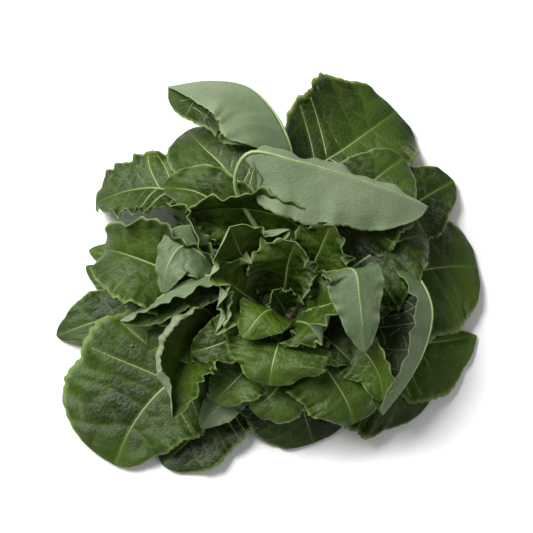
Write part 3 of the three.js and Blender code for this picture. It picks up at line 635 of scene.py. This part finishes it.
class Signal:
    # A node socket that sums can be written on; each operation adds its own Math node.
    def __init__(self, tree, socket=None):
        self.tree, self.socket = tree, socket

    def node(self, kind, settings, inputs, output=0):
        made = self.tree.nodes.new(kind)
        for key, value in settings.items():
            setattr(made, key, value)
        for key, value in inputs.items():
            if isinstance(value, Signal):
                self.tree.links.new(value.socket, made.inputs[key])
            else:
                made.inputs[key].default_value = value
        return Signal(self.tree, made.outputs[output])

    def math(self, operation, first, second=0.0, clamp=False):
        settings = {"operation": operation, "use_clamp": clamp}
        return self.node("ShaderNodeMath", settings, {0: first, 1: second})

    def __add__(self, other):
        return self.math("ADD", self, other)

    def __sub__(self, other):
        return self.math("SUBTRACT", self, other)

    def __rsub__(self, other):
        return self.math("SUBTRACT", other, self)

    def __mul__(self, other):
        return self.math("MULTIPLY", self, other)

    __radd__ = __add__
    __rmul__ = __mul__

    def clamped(self):
        return self.math("ADD", self, 0.0, clamp=True)


def startMaterial(name):
    material = bpy.data.materials.new(name)
    material.use_nodes = True
    shader = material.node_tree.nodes["Principled BSDF"]
    return material, shader, Signal(material.node_tree)


def mixColors(tree, factor, first, second):
    return tree.node("ShaderNodeMix", {"data_type": "RGBA"}, {0: factor, 6: first, 7: second}, 2)


def noiseOn(tree, scale, detail=3.0):
    place = tree.node("ShaderNodeTexCoord", {}, {}, 3)
    return tree.node("ShaderNodeTexNoise", {}, {"Vector": place, "Scale": scale, "Detail": detail}, 0)


def netOn(tree, scale):
    # Fine net of veins: distance to the borders of cells laid on the flattened blade.
    place = tree.node("ShaderNodeUVMap", {"uv_map": "flat"}, {})
    noise = tree.node("ShaderNodeTexNoise", {}, {"Vector": place, "Scale": scale * 1.4, "Detail": 2.0}, 1)
    bending = {0: noise, 1: (0.22, 0.22, 0.0), 2: place}
    bent = tree.node("ShaderNodeVectorMath", {"operation": "MULTIPLY_ADD"}, bending)
    cells = {"voronoi_dimensions": "2D", "feature": "DISTANCE_TO_EDGE"}
    return tree.node("ShaderNodeTexVoronoi", cells, {"Vector": bent, "Scale": scale}, 0)


def attributeOf(tree, key):
    return tree.node("ShaderNodeAttribute", {"attribute_name": key}, {}, 2)


def connect(tree, signal, shader, key):
    tree.tree.links.new(signal.socket, shader.inputs[key])


# Lightness runs from dark to light. Dark is reached by darker tones of the leaf itself and by the painted
# shade at the blade bases.
faceLook = {
    "dark": (0.004, 0.012, 0.0006, 1), "light": (0.046, 0.088, 0.005, 1), "pale": (0.11, 0.17, 0.025, 1),
    "edge": (0.17, 0.25, 0.06, 1), "roughness": 0.42, "bump": 0.35,
}
backLook = {
    "dark": (0.040, 0.075, 0.018, 1), "light": (0.165, 0.215, 0.12, 1), "edge": (0.18, 0.25, 0.08, 1),
    "roughness": 0.62, "bump": 0.3,
}
veinLook = {"pale": (0.40, 0.47, 0.25, 1), "green": (0.22, 0.30, 0.10, 1), "roughness": 0.42}
stalkLook = {"pale": (0.30, 0.38, 0.15, 1), "green": (0.16, 0.24, 0.07, 1), "roughness": 0.38}
crownLook = {
    "skin": (0.50, 0.27, 0.20, 1), "pale": (0.62, 0.50, 0.36, 1), "soil": (0.10, 0.06, 0.035, 1),
    "roughness": 0.75, "bump": 0.5,
}


def makeFaceMaterial():
    material, shader, tree = startMaterial("leaf face")
    look = faceLook
    vein, edge, tone = (attributeOf(tree, key) for key in ("vein", "edge", "tone"))
    net = netOn(tree, 2.6)
    fine = netOn(tree, 7.0)
    patches = noiseOn(tree, 28.0)
    # The tone attribute brings the leaf's own tone and the painted shade towards the blade's base.
    lightness = ((patches - 0.5) * 1.9 + 0.36 + tone * 0.42 + vein * 0.16).clamped()
    color = mixColors(tree, lightness, look["dark"], look["light"])
    netLines = (1 - net * 16).clamped() * 0.3
    color = mixColors(tree, netLines, color, look["pale"])
    color = mixColors(tree, (vein * vein * 0.3).clamped(), color, look["pale"])
    color = mixColors(tree, edge * 0.85, color, look["edge"])
    connect(tree, color, shader, "Base Color")
    connect(tree, (patches * 0.22 + look["roughness"] - 0.08).clamped(), shader, "Roughness")
    grain = noiseOn(tree, 900.0, 4.0)
    height = (net * 3).clamped() * 0.55 + (fine * 3).clamped() * 0.22 + grain * 0.16
    bump = tree.node("ShaderNodeBump", {}, {"Height": height, "Strength": look["bump"], "Distance": 0.0007})
    connect(tree, bump, shader, "Normal")
    shader.inputs["Specular IOR Level"].default_value = 0.22
    return material


def makeBackMaterial():
    material, shader, tree = startMaterial("leaf back")
    look = backLook
    vein, edge, tone = (attributeOf(tree, key) for key in ("vein", "edge", "tone"))
    net = netOn(tree, 2.6)
    patches = noiseOn(tree, 34.0)
    # The tone attribute brings the leaf's own tone and the painted shade towards the blade's base.
    lightness = ((patches - 0.5) * 0.9 + 0.72 + tone * 0.5 + vein * 0.12).clamped()
    color = mixColors(tree, lightness, look["dark"], look["light"])
    color = mixColors(tree, edge * 0.6, color, look["edge"])
    connect(tree, color, shader, "Base Color")
    connect(tree, (patches * 0.15 + look["roughness"] - 0.07).clamped(), shader, "Roughness")
    height = (1 - net * 5).clamped() * 0.5 + noiseOn(tree, 1100.0, 4.0) * 0.25
    bump = tree.node("ShaderNodeBump", {}, {"Height": height, "Strength": look["bump"], "Distance": 0.0006})
    connect(tree, bump, shader, "Normal")
    return material


def makeEdgeMaterial():
    material, shader, tree = startMaterial("leaf margin")
    color = mixColors(tree, noiseOn(tree, 120.0), faceLook["light"], (0.22, 0.30, 0.10, 1))
    connect(tree, color, shader, "Base Color")
    shader.inputs["Roughness"].default_value = 0.5
    return material


def makeVeinMaterial(name, look):
    material, shader, tree = startMaterial(name)
    streaks = noiseOn(tree, 160.0, 4.0)
    color = mixColors(tree, (streaks * 1.5 - 0.35).clamped(), look["green"], look["pale"])
    connect(tree, color, shader, "Base Color")
    grain = {"Height": noiseOn(tree, 700.0), "Strength": 0.2, "Distance": 0.0005}
    bump = tree.node("ShaderNodeBump", {}, grain)
    connect(tree, bump, shader, "Normal")
    shader.inputs["Roughness"].default_value = look["roughness"]
    return material


def makeCrownMaterial():
    material, shader, tree = startMaterial("crown skin")
    height = tree.node("ShaderNodeSeparateXYZ", {}, {"Vector": tree.node("ShaderNodeTexCoord", {}, {}, 3)}, 2)
    rising = (height * 90.0).clamped()
    color = mixColors(tree, rising, crownLook["skin"], crownLook["pale"])
    soiled = (noiseOn(tree, 240.0, 6.0) * 2.2 - 0.95).clamped() * 0.7
    color = mixColors(tree, soiled, color, crownLook["soil"])
    connect(tree, color, shader, "Base Color")
    grain = {"Height": noiseOn(tree, 500.0, 6.0), "Strength": crownLook["bump"], "Distance": 0.0012}
    connect(tree, tree.node("ShaderNodeBump", {}, grain), shader, "Normal")
    shader.inputs["Roughness"].default_value = crownLook["roughness"]
    return material


crownShape = {
    "radius": 13, "height": 11, "waist": 0.82, "rings": 48, "sides": 96, "ridges": 9, "ridgeHeight": 0.45,
}


def makeCrown(material):
    # A lathed stub: its radius follows a waist, a bulge and a dome up the height, with shallow
    # upright ridges, and its cut base is flat.
    look = crownShape
    rise = np.linspace(0, 1, look["rings"])[:, None]
    turn = (np.arange(look["sides"]) / look["sides"] * 2 * np.pi)[None, :]
    side = look["waist"] + (1 - look["waist"]) * np.sin(np.pi * np.minimum(rise / 0.9, 1)) ** 0.8
    dome = np.sqrt(np.maximum(1 - np.maximum((rise - 0.5) / 0.5, 0) ** 2, 0.002))
    ridges = np.sin(look["ridges"] * turn) + 0.6 * np.sin(17 * turn + 2)
    ridged = look["ridgeHeight"] * (0.6 + 0.4 * ridges) * np.minimum(rise * 8, 1)
    radius = (look["radius"] - 0.5) * side * dome - ridged
    height = look["height"] * rise + 0 * turn
    rings = np.stack([radius * np.cos(turn), radius * np.sin(turn), height], -1)
    points, faces = closedTube(rings)
    piece = buildMesh("look_crown", points, faces, [material], [0] * len(faces), {})
    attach(piece, "root")
    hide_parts("crown")


studio = {
    "lens": 200, "distance": 1.84, "elevation": 75, "target": (-0.0115, 0.028, 0.040),
    "floor": (0.97, 0.97, 0.96, 1), "sky": 0.28,
    "keyPower": 42, "keyPlace": (-0.75, 0.55, 1.25), "keySize": 0.9,
    "fillPower": 3, "fillPlace": (0.9, -0.6, 1.0), "fillSize": 1.2,
}


def aim(thing, target):
    thing.rotation_euler = (Vector(target) - thing.location).to_track_quat("-Z", "Y").to_euler()


def makeStudio():
    target, distance = Vector(studio["target"]), studio["distance"]
    elevation = math.radians(studio["elevation"])
    camera = bpy.data.objects.new("camera", bpy.data.cameras.new("camera"))
    camera.data.lens = studio["lens"]
    camera.data.clip_end = 20
    camera.location = target + Vector((0, -math.cos(elevation), math.sin(elevation))) * distance
    aim(camera, target)
    bpy.context.collection.objects.link(camera)
    bpy.context.scene.camera = camera
    bpy.context.scene.view_settings.view_transform = "Standard"
    for name in ("key", "fill"):
        light = bpy.data.lights.new(name, "AREA")
        light.energy, light.size = studio[name + "Power"], studio[name + "Size"]
        lamp = bpy.data.objects.new(name, light)
        lamp.location = studio[name + "Place"]
        aim(lamp, (0, 0.03, 0.04))
        bpy.context.collection.objects.link(lamp)
    world = bpy.context.scene.world or bpy.data.worlds.new("world")
    bpy.context.scene.world = world
    world.use_nodes = True
    sky = world.node_tree.nodes["Background"]
    sky.inputs["Color"].default_value = (1, 1, 1, 1)
    sky.inputs["Strength"].default_value = studio["sky"]
    corners = np.array([[-3000, -3000, -0.5], [3000, -3000, -0.5], [3000, 3000, -0.5], [-3000, 3000, -0.5]])
    material, shader, tree = startMaterial("floor")
    shader.inputs["Base Color"].default_value = studio["floor"]
    shader.inputs["Roughness"].default_value = 0.9
    floor = buildMesh("floor", corners, [(0, 1, 2, 3)], [material], [0], {})


makeStudio()
print("studio made")
makeCrown(makeCrownMaterial())
leafMaterials = [makeFaceMaterial(), makeBackMaterial(), makeEdgeMaterial(),
                 makeVeinMaterial("veins", veinLook), makeVeinMaterial("stalks", stalkLook)]
for leafName, leafValues in leaves.items():
    makeLeaf(leafName, leafValues, leafMaterials)
print("leaves made:", len(leaves))
